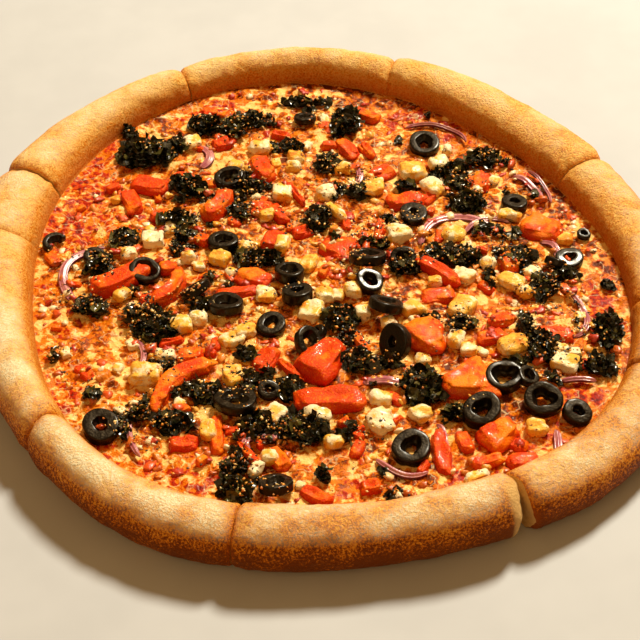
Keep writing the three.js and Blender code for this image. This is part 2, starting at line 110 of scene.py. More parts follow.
# Feta cubes: x, y, length, width, height, turn, and the smaller ones without their height
FETAS = ((-82, -70.5, 16, 11, 9, -5), (39.5, 26, 14, 13, 9, 15))
SMALL_FETA_HEIGHT = 6.5
SMALL_FETAS = (
    (28, 66, 14, 13, 10), (49.5, 79, 14, 12, 10), (59.5, 65, 15, 10, 120), (64, 85.5, 11, 9, 10),
    (68, -27.5, 15, 13, 60), (68, 26, 13, 11, 15), (70, -5, 12, 9, -30), (93.5, -10, 14.5, 11, -25),
    (90, -54, 15.5, 11, 15), (113, -66, 14, 11, -25), (63, -50, 10, 9, 60), (-27.5, -16.5, 11, 11, 5),
    (-5.5, -28, 13, 11, 75), (-3, -96, 14, 10, -15), (-22, -96, 12, 11, 50), (-41.5, -71, 13, 10, 100),
    (-42.5, -47, 13, 10, 10), (-86, 27, 12, 11, 5), (-38, 19, 10, 7, 0), (-52, 12, 11, 9, -20),
    (-20, 62, 11, 10, 0), (25.5, -101, 15, 12, 120), (-68, -36, 12, 11, 0), (-6.5, 5, 13, 9, 60),
    (83, 4, 9, 8, 30), (112, -57, 9, 6, -20), (69, -57, 9, 7, 0), (-37, -42, 12, 9, 20),
    (-74, -57, 9.5, 7, 0), (-97, 16, 8, 8, 20), (-98, -15, 9, 8, 40), (-20, 21, 12, 7, 80),
    (3, 62, 10, 9, 10), (-33, 102, 12, 9, 0), (12, 81, 10, 7, 0), (7, 48, 16, 6, -50),
    (-70, 107, 11, 9, 20), (-13, 92, 9, 8, 0), (1, -17, 10, 9, 0), (44, -97, 10, 9, 30),
    (26.5, -87, 12, 8, 0), (-52, -104, 12, 8, 90), (-24, -121, 8, 7, 0), (-30, -128, 10, 6, 60),
    (66, -135, 12, 6, 20), (95, -107, 10, 8, 0), (-68, 13, 8, 7, 20), (118, -60, 7, 6, 0),
    (97.5, 41, 14, 7, 0), (99, -18, 8, 7, 20), (20, -30, 8, 7, 0), (32, -37, 8, 7, 30),
    (56, -9, 8, 6, 0), (-15, 84, 8, 7, 0), (69, 97, 8, 5, 80), (44, -28, 11, 8, 20),
    (-28, 44, 9, 7, 0), (-60, -33, 9, 7, 10), (15, -14, 9, 8, 0), (5, -112, 9, 7, 0),
)

# Spinach clumps: x, y, length, width, height, turn, and the smaller ones without their height
SPINACHES = ((-95.5, 96.5, 30, 22, 9, -8), (46, -80, 23, 19, 8, 100), (15, 124, 22, 14, 9, 85))
SMALL_SPINACH_HEIGHT = 6.0
SMALL_SPINACHES = (
    (-64, 124, 17, 15, 0), (-48, 121, 16, 12, 80), (-38, 126, 12, 11, 20), (-70, 69, 22, 14, -30),
    (4.5, 84.5, 14, 14, 20), (-2, 42, 20, 11, 70), (71, 79, 14, 12, 0), (88, 88, 17, 12, -10),
    (76.5, 51, 18, 13, 0), (-101, 29, 14, 11, 40), (-112, 6, 15, 11, 60), (-32, 11, 26, 10, -8),
    (70.5, 9.5, 20, 15, -15), (100, 8, 14, 12, 0), (109, -14, 16, 12, 100), (-80, -36, 24, 19, -40),
    (8.5, -33, 19, 17, -20), (-36, -75, 14, 10, 90), (17.5, -63, 17, 14, -40), (103.5, -55, 15, 18, 0),
    (137, -45, 24, 12, 85), (128, -69, 18, 8, -15), (-67.5, -99, 18, 11, -10), (-28.5, -102, 17, 15, 0),
    (-9.5, -104, 25, 16, -10), (-38, -139, 15, 12, -35), (-106, 117, 13, 6, -50), (-9, 143.5, 32, 5, 0),
    (-78, 105, 13, 10, 30), (-15, 101, 13, 7, 0), (-39, 70, 18, 9, -40), (72, 67, 14, 8, 0),
    (45, 66, 12, 5, 0), (-43, 47, 12, 8, 90), (-76, 43, 18, 8, -10), (-70, 29, 12, 7, 0),
    (42, 2, 14, 10, 0), (120, -6, 14, 6, -10), (-113, -23, 16, 8, -15), (-73, -65, 10, 5, 0),
    (-36, -57, 11, 7, 0), (-15, -79, 13, 10, 90), (-55, -80, 18, 10, -20), (12, -44, 11, 6, 90),
    (67, -39, 14, 6, -15), (97, -40, 14, 6, 90), (-82, -94, 12, 6, 0), (-89, -101, 18, 4, 85),
    (-39, -126, 11, 6, 0), (10, -109, 6, 5, 0), (62, -97, 14, 8, 0), (106, -76, 6, 4, 0),
    (0, -131, 9, 5, 110), (-127, -56, 7, 4, 80), (57, 12, 12, 9, 0), (-60, -22, 12, 7, 0),
    (-90, -30, 13, 10, 0), (20, 62, 9, 8, 0), (84, 30, 8, 6, 0), (32, -64, 12, 7, -30),
)

# Red onion arcs: centre x, y, radius, from, to, width
ONION_HEIGHT = 2.5
ONIONS = (
    (-104, -1, 25, 105, 228, 5), (60, 102, 19, 5, 128, 2.5), (72, 17, 23, 35, 172, 5),
    (100, 58, 15, -15, 80, 4), (112, -33, 16, -62, 58, 3.5), (88, -115, 17, -50, 25, 4),
    (38, -112, 19, 212, 292, 3), (28, -89, 15, 48, 128, 5), (-56, -96, 33, 165, 222, 3),
    (-110, -55, 25, -20, 28, 3), (100, 58, 21, -20, 60, 2), (108, 8, 12, -5, 75, 4),
    (-28, -113, 6, 20, 200, 4), (118, -100, 24, 70, 110, 3), (0, 76, 20, -25, 32, 4),
    (-75, 97, 14, -45, 40, 5), (88, 20, 18, 60, 150, 3), (45, -112, 10, -60, 60, 3),
)


def srgb(text):
    """Linear colour of a six-figure hexadecimal one."""
    values = [int(text[i:i + 2], 16) / 255 for i in (0, 2, 4)]
    return [*(v / 12.92 if v < 0.04045 else ((v + 0.055) / 1.055) ** 2.4 for v in values), 1.0]


def outline_radius(outline, angle):
    """Radius of an outline at an angle, from its mean radius and its cosine and sine waves."""
    radius, waves = outline
    return radius + sum(
        cosine * np.cos(order * angle) + sine * np.sin(order * angle)
        for order, (cosine, sine) in enumerate(waves, 1)
    )


def cheese_height(x, y):
    """Height of the cheese: soft lumps of two sizes."""
    broad = np.sin(x / 17 + 1) * np.cos(y / 14)
    narrow = np.sin((x + y) / 9 + 2) * np.cos((x - y) / 11)
    return CHEESE_TOP + CHEESE_LUMPS * (0.7 * broad + 0.3 * narrow)


# Noise

def lattice(cells, seed):
    """Random value from -1 to 1 for each whole-number point."""
    across, along, up = np.moveaxis(cells, -1, 0)
    mixed = across * 73856093 ^ along * 19349663 ^ up * 83492791 ^ seed * 40503
    mixed = (mixed ^ (mixed >> 13)) * 1274126177 & 0xFFFFFFFF
    mixed = (mixed ^ (mixed >> 16)) * 668265263 & 0xFFFFFFFF
    return mixed / 0x7FFFFFFF - 1.0


def noise(points, size, seed=0):
    """Smooth noise from -1 to 1 at points in millimetres, with lumps of one size."""
    scaled = points / size
    base = np.floor(scaled).astype(np.int64)
    part = scaled - base
    part = part * part * (3 - 2 * part)
    total = np.zeros(len(points))
    for corner in np.ndindex(2, 2, 2):
        share = np.prod(np.where(corner, part, 1 - part), axis=1)
        total += share * lattice(base + corner, seed)
    return total


def fractal(points, size, octaves=3, seed=0):
    """Noise of several sizes, each half the last, from about -1 to 1."""
    return sum(noise(points, size / 2 ** i, seed + i) / 2 ** i for i in range(octaves)) / 1.5


def ridged(points, size, octaves=3, seed=0):
    """Sharp creases: 1 on a crease, falling towards 0 between them."""
    layers = [(1 - np.abs(noise(points, size / 2 ** i, seed + i))) ** 2 / 2 ** i for i in range(octaves)]
    return sum(layers) / 1.75


def flat_points(x, y):
    """Points on z = 0, one a row."""
    return np.stack([np.ravel(x), np.ravel(y), np.zeros(np.size(x))], axis=1)


# Meshes

def grid_quads(rows, columns, wrap):
    """Faces of a grid of points; with wrap, the last column joins the first."""
    steps = columns if wrap else columns - 1
    row, column = np.meshgrid(np.arange(rows - 1), np.arange(steps), indexing="ij")
    following = (column + 1) % columns
    corners = (row * columns + column, row * columns + following)
    upper = ((row + 1) * columns + following, (row + 1) * columns + column)
    return np.stack([*corners, *upper], axis=-1).reshape(-1, 4)


def joined(parts):
    """One body of (points, faces, {attribute: values}) from several."""
    points, faces, fields, start = [], [], {}, 0
    for part_points, part_faces, part_fields in parts:
        points.append(part_points)
        faces += [[corner + start for corner in face] for face in part_faces]
        start += len(part_points)
        for name, values in part_fields.items():
            fields.setdefault(name, []).append(np.broadcast_to(values, len(part_points)))
    return np.concatenate(points), faces, {k: np.concatenate(v) for k, v in fields.items()}


def make_piece(name, body, material, replaced=()):
    """Blender object of a body given in millimetres, riding on the pizza."""
    points, faces, fields = body
    centred = (np.asarray(points) - (*BOX_CENTRE, 0)) / 1000
    mesh = bpy.data.meshes.new(name)
    mesh.from_pydata(centred.tolist(), [], faces if isinstance(faces, list) else faces.tolist())
    mesh.polygons.foreach_set("use_smooth", np.ones(len(mesh.polygons), dtype=bool))
    for field, values in fields.items():
        attribute = mesh.attributes.new(field, "FLOAT", "POINT")
        values = np.broadcast_to(values, len(mesh.vertices))
        attribute.data.foreach_set("value", np.ascontiguousarray(values, dtype=np.float32))
    mesh.materials.append(material)
    piece = bpy.data.objects.new(name, mesh)
    bpy.context.scene.collection.objects.link(piece)
    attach(piece, "root")
    if replaced:
        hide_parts(*replaced)
    return piece


def ball(steps):
    """Unit ball as a cube's faces blown out: directions and faces, corners shared."""
    line = np.tan(np.linspace(-1, 1, steps + 1) * math.pi / 4)
    a, b = np.meshgrid(line, line, indexing="ij")
    one = np.ones_like(a)
    sides = [(a, b, one), (b, a, -one), (one, a, b), (-one, b, a), (b, one, a), (a, -one, b)]
    points = np.concatenate([np.stack([np.ravel(c) for c in side], axis=1) for side in sides])
    quads = grid_quads(steps + 1, steps + 1, False)
    quads = np.concatenate([quads + i * (steps + 1) ** 2 for i in range(len(sides))])
    keys, inverse = np.unique(np.round(points, 6), axis=0, return_inverse=True)
    return keys / np.linalg.norm(keys, axis=1, keepdims=True), inverse.ravel()[quads]


def rotated(a, b, angle):
    """Two coordinates turned by an angle in radians, from the first towards the second."""
    c, s = np.cos(angle), np.sin(angle)
    return c * a - s * b, s * a + c * b


def turned(points, degrees):
    """Points turned about the vertical axis."""
    x, y, z = points.T
    return np.stack([*rotated(x, y, math.radians(degrees)), z], axis=1)


# How deep a piece sits in the cheese
SINK = 1.0


def chunk(ball_body, x, y, size, turn, square, rough, bend=0.0, taper=0.0):
    """A ball squared, tapered, roughened and bent, as its solid is; returns points and directions."""
    directions, _ = ball_body
    half_length, half_width, half_height = (side / 2 for side in size)
    widest = np.abs(directions).max(axis=1)
    px, py, pz = directions.T
    wobble = np.sin(3 * px + x) * np.sin(3 * py + y) * np.cos(3 * pz)
    scaled = directions * ((1 + rough * wobble) / widest ** square)[:, None]
    along = half_length * scaled[:, 0]
    side = half_width * scaled[:, 1] * (1 - taper * scaled[:, 0])
    up = half_height * scaled[:, 2]
    if bend:
        curve = bend * along
        along, side = (1 / bend - side) * np.sin(curve), 1 / bend - (1 / bend - side) * np.cos(curve)
        side = side - 0.3 * bend * half_length ** 2
    points = turned(np.stack([along, side, up], axis=1), turn)
    return points + (x, y, cheese_height(x, y) + half_height - SINK), turned(directions, turn)


# Materials

class Shader:
    """A material's nodes, made one call at a time."""

    def __init__(self, name):
        self.material = bpy.data.materials.new(name)
        self.material.use_nodes = True
        self.tree = self.material.node_tree
        self.surface = self.tree.nodes["Principled BSDF"]
        self.place = self.make("ShaderNodeTexCoord").outputs["Object"]

    def make(self, kind, inputs=None, **settings):
        """A node of a kind, with its inputs fed and its settings made."""
        node = self.tree.nodes.new(kind)
        for key, value in settings.items():
            setattr(node, key, value)
        for key, value in (inputs or {}).items():
            self.feed(node.inputs[key], value)
        return node

    def feed(self, socket, value):
        """Link a socket to another one's output, or give it a value of its own."""
        if isinstance(value, bpy.types.NodeSocket):
            self.tree.links.new(value, socket)
        else:
            socket.default_value = value

    def set(self, **inputs):
        """Feed the surface's inputs, named with underscores for spaces."""
        for key, value in inputs.items():
            self.feed(self.surface.inputs[key.replace("_", " ")], value)

    def noise(self, size, detail=3.0, roughness=0.6):
        """Noise with grains of a size in millimetres."""
        inputs = {"Vector": self.place, "Scale": 1000 / size, "Detail": detail, "Roughness": roughness}
        return self.make("ShaderNodeTexNoise", inputs).outputs["Fac"]

    def field(self, name):
        """The mesh's own values of a name."""
        return self.make("ShaderNodeAttribute", attribute_name=name).outputs["Fac"]

    def math(self, operation, a, b=0.0):
        return self.make("ShaderNodeMath", {0: a, 1: b}, operation=operation).outputs[0]

    def total(self, value, *others):
        for other in others:
            value = self.math("ADD", value, other)
        return value

    def span(self, value, low, high, to_low=0.0, to_high=1.0):
        inputs = {"Value": value, "From Min": low, "From Max": high, "To Min": to_low, "To Max": to_high}
        return self.make("ShaderNodeMapRange", inputs, interpolation_type="SMOOTHSTEP").outputs["Result"]

    def swing(self, texture, margin, reach):
        """A texture's range of 0.5 give or take a margin, as a value from -reach to reach."""
        return self.span(texture, 0.5 - margin, 0.5 + margin, -reach, reach)

    def mix(self, share, a, b):
        node = self.make("ShaderNodeMix", data_type="RGBA")
        for socket, value in ((node.inputs[0], share), (node.inputs[6], a), (node.inputs[7], b)):
            self.feed(socket, srgb(value) if isinstance(value, str) else value)
        return node.outputs[2]

    def grade(self, value, colour, *steps):
        """A colour that turns into the next ones as a value rises: from, to, colour."""
        for low, high, following in steps:
            colour = self.mix(self.span(value, low, high), colour, following)
        return colour

    def bump(self, height, distance, strength=1.0):
        """Bump of a height from 0 to 1 that stands for a distance in millimetres."""
        inputs = {"Height": height, "Distance": distance / 1000, "Strength": strength}
        return self.make("ShaderNodeBump", inputs).outputs["Normal"]


# Tint of the sheen on oily surfaces
WARM = (1.0, 0.66, 0.3, 1.0)


def crust_material():
    """Golden where it is lit, browned down its side, partly with painted shade, floured on its crest, where
    a painted highlight lies too.
    """
    shader = Shader("baked_crust")
    blotch = shader.noise(26, 4)
    grain = shader.noise(1.1, 4, 0.75)
    pits = shader.noise(3.0, 2)
    swings = shader.swing(blotch, 0.2, 0.22), shader.swing(grain, 0.16, 0.6), shader.swing(pits, 0.15, 0.1)
    # Browning: down the rim's side and underneath it is partly painted shade, and at the back it is
    # lessened as a painted highlight
    toast_and_shade = shader.total(shader.field("toast_and_shade"), *swings)
    steps = (-0.3, 0.2, "f0a028"), (0.15, 0.7, "d87208"), (0.55, 1.2, "783402")
    colour = shader.grade(toast_and_shade, "fdc868", *steps)
    # Orange on the rim's inward-facing wall: sauce-stained foot with painted shade
    foot = shader.math("MULTIPLY", shader.field("foot"), shader.span(grain, 0.3, 0.7, 0.7, 1.0))
    colour = shader.mix(foot, colour, "c65c02")
    # Cream on the crest: floury patches that are also a painted highlight
    drifts = shader.span(shader.noise(16, 3), 0.3, 0.7, 0.2, 1.5)
    flour_and_highlight = shader.math("MULTIPLY", shader.field("flour_and_highlight"), drifts)
    flour_and_highlight = shader.math("MULTIPLY", flour_and_highlight, shader.span(grain, 0.42, 0.6, 0.4, 1.0))
    colour = shader.mix(flour_and_highlight, colour, "fff0c8")
    colour = shader.mix(shader.field("cut"), colour, "edbf78")
    relief = shader.total(grain, shader.math("MULTIPLY", pits, 0.5))
    shader.set(Base_Color=colour, Roughness=0.5, Normal=shader.bump(relief, 1.5, 1.0))
    shader.set(Specular_IOR_Level=0.2, Specular_Tint=WARM)
    return shader.material


def cheese_material():
    """Melted cheese with browned patches and painted shade by the rim, over sauce that is golden where it
    is thin.
    """
    shader = Shader("melted_cheese")
    broad = shader.noise(14, 3)
    patch = shader.noise(5.5, 3, 0.55)
    fine = shader.noise(2.6, 3, 0.65)
    swings = shader.swing(broad, 0.15, 0.45), shader.swing(patch, 0.14, 0.8), shader.swing(fine, 0.2, 0.2)
    warm = shader.total(shader.field("toast_and_shade"), *swings)
    steps = (-0.1, 0.35, "d07208"), (0.45, 0.95, "a43c00"), (1.0, 1.4, "5c2003")
    colour = shader.grade(warm, "eebc6a", *steps)
    swings = shader.swing(patch, 0.15, 0.35), shader.swing(fine, 0.2, 0.4)
    sauce = shader.total(shader.field("sauce"), *swings)
    steps = (0.15, 0.5, "da720c"), (0.5, 0.95, "ac1e00"), (1.0, 1.4, "6a0a00")
    colour = shader.grade(sauce, colour, *steps)
    off_middle = shader.math("ABSOLUTE", shader.math("SUBTRACT", shader.noise(8, 2, 0.4), 0.5))
    colour = shader.mix(shader.span(off_middle, 0.0, 0.025, 0.5, 0.0), colour, "eaca94")
    colour = shader.grade(shader.noise(1.7, 2), colour, (0.67, 0.72, "64270a"))
    relief = shader.total(patch, shader.math("MULTIPLY", fine, 0.6))
    normal = shader.bump(relief, 2.2, 0.9)
    shader.set(Base_Color=colour, Roughness=shader.span(fine, 0.3, 0.7, 0.35, 0.5), Normal=normal)
    shader.set(Specular_IOR_Level=0.12, Specular_Tint=WARM)
    shader.set(Coat_Weight=0.2, Coat_Roughness=0.05, Coat_Normal=normal)
    return shader.material


def olive_material():
    """Dark flesh inside a blacker skin."""
    shader = Shader("black_olive")
    flesh = shader.grade(shader.noise(1.8), "040302", (0.35, 0.7, "120c08"))
    colour = shader.mix(shader.field("skin"), flesh, "030202")
    relief = shader.total(shader.noise(1.6, 3), shader.span(shader.noise(3.5), 0.3, 0.7))
    shader.set(Base_Color=colour, Roughness=0.45, Specular_IOR_Level=0.15, Specular_Tint=WARM)
    shader.set(Normal=shader.bump(relief, 0.5, 0.6), Coat_Weight=0.35, Coat_Roughness=0.2)
    return shader.material


def tomato_material():
    """Wet roasted flesh, golden in parts, redder lower down with painted shade, and flecked with painted
    glints.
    """
    shader = Shader("roasted_tomato")
    flesh = shader.noise(4.5, 4)
    grain = shader.noise(0.9, 3)
    gold = shader.total(shader.field("gold"), shader.swing(flesh, 0.2, 0.35))
    colour = shader.grade(gold, "d43400", (0.1, 0.9, "f47e08"))
    # Lighter orange speckle: grain of the flesh, partly painted glints
    colour = shader.mix(shader.span(grain, 0.52, 0.68, 0.0, 0.5), colour, "ff9010")
    # Redder on the lower sides: painted shade, with random tone
    deep = shader.total(shader.field("deep"), shader.swing(flesh, 0.2, 0.2))
    colour = shader.grade(deep, colour, (0.15, 0.9, "c02200"))
    shader.set(Base_Color=colour, Roughness=0.4, Specular_IOR_Level=0.25, Specular_Tint=WARM)
    shader.set(Normal=shader.bump(shader.total(grain, flesh), 0.7, 0.9))
    shader.set(Coat_Normal=shader.bump(flesh, 1.0, 0.5), Coat_Weight=0.14, Coat_Roughness=0.04)
    return shader.material


def feta_material():
    """Crumbly cheese, white in parts and browned in patches."""
    shader = Shader("baked_feta")
    grain = shader.noise(1.4, 4, 0.7)
    broad = shader.noise(6, 3)
    toast_and_shade = shader.total(shader.field("toast_and_shade"), shader.swing(broad, 0.2, 0.5))
    colour = shader.grade(toast_and_shade, "f0deb4", (0.0, 0.55, "f0b23c"), (0.65, 1.15, "dc7c14"))
    colour = shader.grade(shader.noise(2.0, 2), colour, (0.66, 0.71, "74320a"))
    shader.set(Base_Color=colour, Roughness=0.42, Normal=shader.bump(grain, 0.8, 0.9))
    shader.set(Coat_Weight=0.12, Coat_Roughness=0.15, Specular_Tint=WARM)
    return shader.material


def spinach_material():
    """Nearly black leaf, with a few paler scraps and browned specks."""
    shader = Shader("baked_spinach")
    mottle = shader.noise(2.0, 4, 0.7)
    colour = shader.grade(mottle, "050604", (0.42, 0.75, "2c2c12"))
    colour = shader.mix(shader.span(shader.field("pale"), 0.7, 1.0, 0.0, 0.8), colour, "5c5220")
    colour = shader.grade(shader.noise(1.2, 2), colour, (0.66, 0.72, "8a5a20"))
    shader.set(Base_Color=colour, Roughness=0.3, Normal=shader.bump(mottle, 0.7, 0.9))
    shader.set(Specular_IOR_Level=0.15, Specular_Tint=WARM, Coat_Weight=0.45, Coat_Roughness=0.1)
    return shader.material


def onion_material():
    """Pale flesh with purple stripes and edges along the strip."""
    shader = Shader("red_onion")
    across = shader.field("across")
    stripes = shader.span(shader.math("SINE", shader.math("MULTIPLY", across, 16.0)), 0.0, 0.8, 0.0, 0.6)
    pale = shader.grade(shader.noise(4, 3), "d08c80", (0.3, 0.7, "a85860"))
    colour = shader.mix(stripes, pale, "84284a")
    colour = shader.grade(across, colour, (0.8, 0.98, "581030"))
    shader.set(Base_Color=colour, Roughness=0.28, Normal=shader.bump(shader.noise(1.5), 0.3, 0.6))
    shader.set(Coat_Weight=0.3, Coat_Roughness=0.12)
    return shader.material


def speckled_material(name, colours, roughness):
    """Small strewn bits, each of one of three colours by its own value."""
    shader = Shader(name)
    steps = (0.3, 0.4, colours[1]), (0.65, 0.75, colours[2])
    colour = shader.grade(shader.field("kind"), colours[0], *steps)
    colour = shader.mix(shader.span(shader.noise(0.9, 2), 0.55, 0.8, 0.0, 0.4), colour, "2a1508")
    shader.set(Base_Color=colour, Roughness=roughness, Normal=shader.bump(shader.noise(0.8, 2), 0.3, 0.8))
    shader.set(Coat_Weight=0.2, Coat_Roughness=0.15)
    return shader.material


def floor_material():
    shader = Shader("pale_floor")
    colour = shader.grade(shader.noise(60, 3), "b2b4b8", (0.3, 0.7, "b8babe"))
    shader.set(Base_Color=colour, Roughness=0.7)
    return shader.material


# Bread

def slice_limits(index):
    """Start and end angle of a slice, and its rim's rise."""
    angle, gape, rise = CUTS[index]
    following, following_gape, _ = CUTS[(index + 1) % len(CUTS)]
    turn = 360 if index + 1 == len(CUTS) else 0
    start = math.radians(angle) + gape / 2 / OUTER[0]
    end = math.radians(following + turn) - following_gape / 2 / OUTER[0]
    return start, end, rise


# The slice whose last end is bevelled at the open cut, and how far and how deep
BEVELLED = 6
BEVEL_REACH = 9.0
BEVEL_DEPTH = 6.0

# Points of a section: across the base, then round the rim; and the distance between sections
BASE_SHARES = (0.0, 0.25, 0.5, 0.75, 0.95)
RIM_POINTS = 76
RIM = slice(len(BASE_SHARES), len(BASE_SHARES) + RIM_POINTS)
RIM_SPACING = 1.25

# How far seams stray sideways, and how far from the seam that fades
SEAM_SWAY = 1.5
SEAM_FADE = 5.0

# Swelling of the rim: size of its lumps, octaves, seed and height
RIM_SWELLS = ((30, 2, 3, 1.0), (9, 3, 7, 0.55), (2.6, 2, 12, 0.22))


def bread_slice(index):
    """Closed body of a slice's bread, with its toasting as fields."""
    start, end, rise = slice_limits(index)
    stations = max(8, int((end - start) * OUTER[0] / RIM_SPACING))
    angle = np.linspace(start, end, stations)[:, None]
    distance = OUTER[0] * np.minimum(angle - start, end - angle)
    pinch = (1 - np.minimum(1, distance / END_ROUND)) ** 2
    lumps = 1 + 0.025 * np.sin(5 * angle + 1) + 0.015 * np.sin(11 * angle + 2)
    height = RIM_HEIGHT * rise * lumps * (1 - END_PINCH * pinch)
    inner = outline_radius(INNER, angle)
    bevel = np.clip(1 - OUTER[0] * (end - angle) / BEVEL_REACH, 0, 1) * (index == BEVELLED)
    outer = outline_radius(OUTER, angle) - END_TUCK * pinch - BEVEL_DEPTH * bevel ** 2
    middle = RIM_MIDDLE * height
    lowest = -math.asin(RIM_MIDDLE / (1 - RIM_MIDDLE))
    turn = np.linspace(lowest, math.pi, RIM_POINTS)[None, :]
    half_width = (outer - inner) / 2
    radius = inner + half_width * (1 + np.cos(turn))
    z = middle + (height - middle) * np.sin(turn)
    shares = np.array(BASE_SHARES)[None, :]
    foot = inner * np.ones((stations, 1))
    radius = np.concatenate([shares * inner, radius, foot, shares[:, ::-1] * inner], axis=1)
    under = 0 * shares * foot
    z = np.concatenate([under, z, 0 * foot + BASE_THICKNESS, under + BASE_THICKNESS], axis=1)
    points = np.stack([radius * np.cos(angle), radius * np.sin(angle), z], axis=-1)
    normals = np.cos(turn), np.sin(turn)
    swell_rim(points, angle, distance, normals)
    sway_seam(points, angle, index, 0)
    sway_seam(points, angle, (index + 1) % len(CUTS), -1)
    fields = bread_fields(radius.shape, angle, distance, normals, bevel)
    faces = grid_quads(*radius.shape, True)[:, ::-1].tolist()
    sides = (points.reshape(-1, 3), faces, fields)
    return joined([sides, end_face(points[0], False), end_face(points[-1], True)])


def sway_seam(points, angle, cut, station):
    """Move a slice's end sideways along a wandering seam, the same for both slices that share it."""
    end = points[station]
    stray = fractal(end + (0, 0, 60 * cut), 11, 3, 80 + cut) * SEAM_SWAY
    fade = np.exp(-np.abs(angle - angle[station]) * OUTER[0] / SEAM_FADE)
    sideways = np.stack([-np.sin(angle), np.cos(angle)], axis=-1)
    points[..., :2] += (stray * fade)[..., None] * sideways


def swell_rim(points, angle, distance, normals):
    """Swell and dimple the rim, with wrinkles where it is pinched towards its ends."""
    spots = points[:, RIM].reshape(-1, 3)
    swell = sum(height * fractal(spots, *lumps) for *lumps, height in RIM_SWELLS)
    wrinkles = ridged(spots, 6, 2, 21).reshape(len(points), -1) - 0.6
    crease = 1.4 * np.exp(-distance / 7) * wrinkles - 0.9 * np.exp(-distance / 0.8)
    order = np.arange(RIM_POINTS)
    ease = np.clip((order + 1) / 5, 0, 1) * np.clip((RIM_POINTS - order) / 6, 0, 1)
    shift = (swell.reshape(len(points), -1) + crease - 0.3) * ease
    normal_r, normal_z = normals
    outward = np.stack([np.cos(angle), np.sin(angle)], axis=-1)
    points[:, RIM, :2] += (shift * normal_r)[..., None] * outward
    points[:, RIM, 2] += shift * normal_z
    points[..., 2] = np.maximum(points[..., 2], 0)


def bread_fields(shape, angle, distance, normals, bevel):
    """Toasting down the side and by the seams, partly painted shade, with the back lightened as a painted
    highlight; inner foot, partly painted shade; cut crumb; and a floured crest that holds a painted
    highlight.
    """
    normal_r, normal_z = normals
    # Browner down the outer side and underneath: toasting with painted shade
    side = np.clip(normal_r, 0, 1) * (1 - np.clip(normal_z, 0, 1)) + 0.25 * np.clip(-normal_z, 0, 1)
    crest = np.clip(2.2 * normal_z - 1.2, 0, 1) * (1 - np.exp(-distance / 4))
    fields = {name: np.zeros(shape) for name in ("foot", "cut", "flour_and_highlight")}
    fields["toast_and_shade"] = np.full(shape, 0.35)
    fields["toast_and_shade"][:, RIM] = 0.08 + side + 0.25 * np.exp(-distance / 2)
    # Browner towards the right; paler at the back, a painted highlight where the rim is lit from behind
    fields["toast_and_shade"][:, RIM] += 0.12 * np.cos(angle - 0.5) - 0.3 * np.sin(angle)
    # Inward-facing wall darker orange: a sauce-stained foot with painted shade; darker by the seams too
    foot = np.clip((-normal_r - 0.62) / 0.38, 0, 1) ** 1.3 * 0.9
    fields["foot"][:, RIM] = np.maximum(foot, 0.45 * np.exp(-(distance / 1.6) ** 2))
    fields["cut"][:, RIM] = np.clip(4 * bevel, 0, 1) * np.clip(3 * normal_r, 0, 1)
    # Cream on the up-facing crest, floury and also a painted highlight; more of it towards the front
    fields["flour_and_highlight"][:, RIM] = crest * (0.7 - 0.1 * np.cos(angle) - 0.25 * np.sin(angle))
    return {name: values.ravel() for name, values in fields.items()}


def end_face(outline, far):
    """Cut face of pale crumb on a slice's end, from its outline."""
    tip, edge = outline[0, :2], outline[:, :2]
    reach = np.linalg.norm(edge - tip, axis=1)
    loop = [Vector((along, height, 0)) for along, height in zip(reach, outline[:, 2])]
    corners = [list(corner) for corner in tessellate_polygon([loop])]
    faces = corners if far else [face[::-1] for face in corners]
    return outline, faces, {"toast_and_shade": 0.3, "foot": 0.0, "cut": 1.0, "flour_and_highlight": 0.0}


# Cheese

# Melted layer: cells across its grid, where its wall ends, and how far it runs into the rim
CHEESE_CELLS = 275
CHEESE_FLOOR = BASE_THICKNESS + GAP
CHEESE_OVERLAP = 1.2

# Sauce showing through: x, y, radius, strength
SAUCES = (
    (-120, 100, 20, 1.0), (-135, 74, 15, 1.1), (-110, 115, 12, 1.0), (-128, 58, 20, 0.9),
    (-140, 48, 12, 0.9), (-130, 12, 12, 0.8), (-75, 138, 12, 1.0), (-104, 124, 11, 0.9),
    (-118, 80, 15, 0.8), (-52, 144, 11, 1.0), (-130, 36, 14, 0.8), (-95, 46, 11, 0.9),
    (-141, -2, 9, 0.7), (-118, -76, 12, 0.9), (-121, -88, 10, 1.0), (-95, -109, 10, 1.0),
    (-80, -122, 11, 1.0), (-68, -134, 11, 1.0), (-50, -137, 11, 1.1), (-3, -130, 11, 0.8),
    (12, -140, 10, 0.8), (45, -140, 8, 0.6), (56, -128, 9, 0.9), (70, -126, 13, 1.2), (88, -123, 12, 1.0),
    (115, -86, 11, 1.0), (122, -84, 10, 1.0), (104, -106, 9, 0.8), (137, -14, 12, 1.2), (134, -30, 10, 1.0),
    (141, -42, 13, 1.1), (128, -50, 9, 0.8), (95, 5, 10, 0.9), (40, 127, 13, 1.2), (58, 127, 10, 1.0),
    (75, 118, 15, 1.2), (72, 106, 9, 0.9), (-60, 140, 9, 1.0), (22, 140, 10, 0.8), (118, 76, 9, 0.7),
    (-25, 118, 8, 0.7), (-118, -32, 11, 0.7), (-40, 0, 10, 0.6), (-84, 42, 9, 0.8), (16, 20, 9, 0.6),
    (-55, -112, 10, 0.7), (125, 42, 10, 0.6), (-4, 55, 9, 0.6), (-66, 0, 10, 0.6),
)

# Pale melted cheese: x, y, radius
PALES = (
    (-104, -84, 7), (45, -28, 10), (-30, -42, 12), (20, 110, 13), (0, 150, 13),
    (30, 150, 9), (-95, 126, 11), (130, 52, 13), (137, 24, 11), (142, 8, 9), (82, 40, 13),
    (62, 122, 7), (-20, 150, 12), (100, 106, 9), (-60, 90, 9), (-84, -108, 9), (40, -132, 9),
    (-52, -94, 9), (-134, 10, 8), (-100, 112, 7),
)


